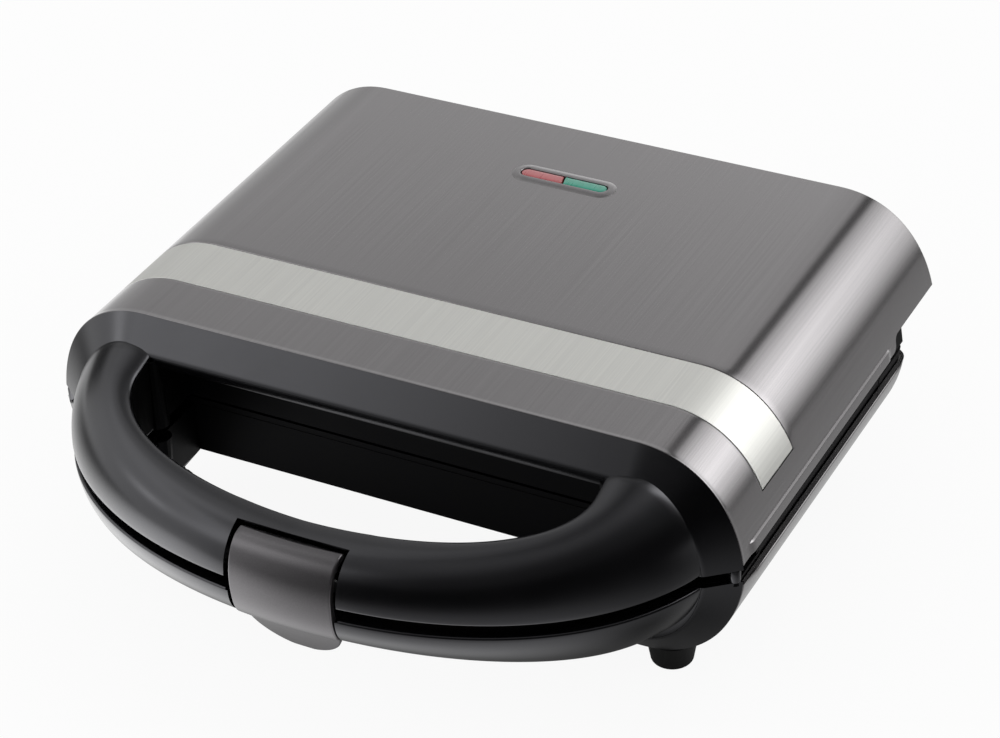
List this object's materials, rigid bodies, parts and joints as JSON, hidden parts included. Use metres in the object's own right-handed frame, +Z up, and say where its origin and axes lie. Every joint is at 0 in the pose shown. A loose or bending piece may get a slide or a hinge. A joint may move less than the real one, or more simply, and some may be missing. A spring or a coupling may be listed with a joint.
{
  "type": "sandwich maker",
  "caption": "Countertop sandwich maker with a hinged lid, a D-shaped front handle, a latch clip, a lamp window and cast triangle plates.",
  "frame": {"origin": "on the floor under the middle of the whole object", "axes": "+Z up, -Y towards the handle and the latch clip, +X to the right of someone facing the handle"},
  "size_m": [0.2324, 0.219, 0.0851],
  "materials": {
    "gunmetal": "dark coated sheet, fine brushing on the shoulders",
    "brushed_steel": "brushed",
    "black_moulding": "satin",
    "clip_metal": "satin dark grey",
    "non_stick": "non-stick coating on cast aluminium",
    "aluminium": "mill",
    "plated_steel": "zinc plated",
    "rubber": "matte",
    "ceramic": "unglazed ceramic",
    "red_lens": "clear red",
    "green_lens": "clear green",
    "lamp_glass": "clear"
  },
  "bodies": {
    "base": {"base_shell": "gunmetal", "base_housing": "black_moulding", "base_plate": "non_stick", "base_element": "plated_steel", "base_reflector": "aluminium", "thermostat": "ceramic", "thermal_fuse": "plated_steel", "terminal_block": "ceramic", "inlet_gland": "rubber", "foot_front_left": "rubber", "foot_front_right": "rubber", "foot_rear_left": "rubber", "foot_rear_right": "rubber", "foot_screw_front_left": "plated_steel", "foot_screw_front_right": "plated_steel", "foot_screw_rear_left": "plated_steel", "foot_screw_rear_right": "plated_steel", "hinge_pin_left": "plated_steel", "hinge_pin_right": "plated_steel", "base_plate_screw_front": "plated_steel", "base_plate_screw_rear": "plated_steel"},
    "lid": {"lid_shell": "gunmetal", "lid_band": "brushed_steel", "lid_housing": "black_moulding", "lid_plate": "non_stick", "lid_element": "plated_steel", "lid_reflector": "aluminium", "lid_plate_screw_front": "plated_steel", "lid_plate_screw_rear": "plated_steel", "lamp_bezel": "gunmetal", "lamp_holder": "ceramic", "red_lens": "red_lens", "green_lens": "green_lens", "red_lamp": "lamp_glass", "green_lamp": "lamp_glass", "latch_pin": "plated_steel"},
    "latch": {"latch_clip": "clip_metal"}
  },
  "joints": [
    {"name": "lid_hinge", "type": "hinge", "parent": "base", "child": "lid", "pos_m": [0, 0.09665, 0.047], "axis": [-1, 0, 0], "range_deg": [0, 100]},
    {"name": "latch_hinge", "type": "hinge", "parent": "lid", "child": "latch", "pos_m": [0, -0.09995, 0.05745], "axis": [-1, 0, 0], "range_deg": [0, 26]}
  ]
}
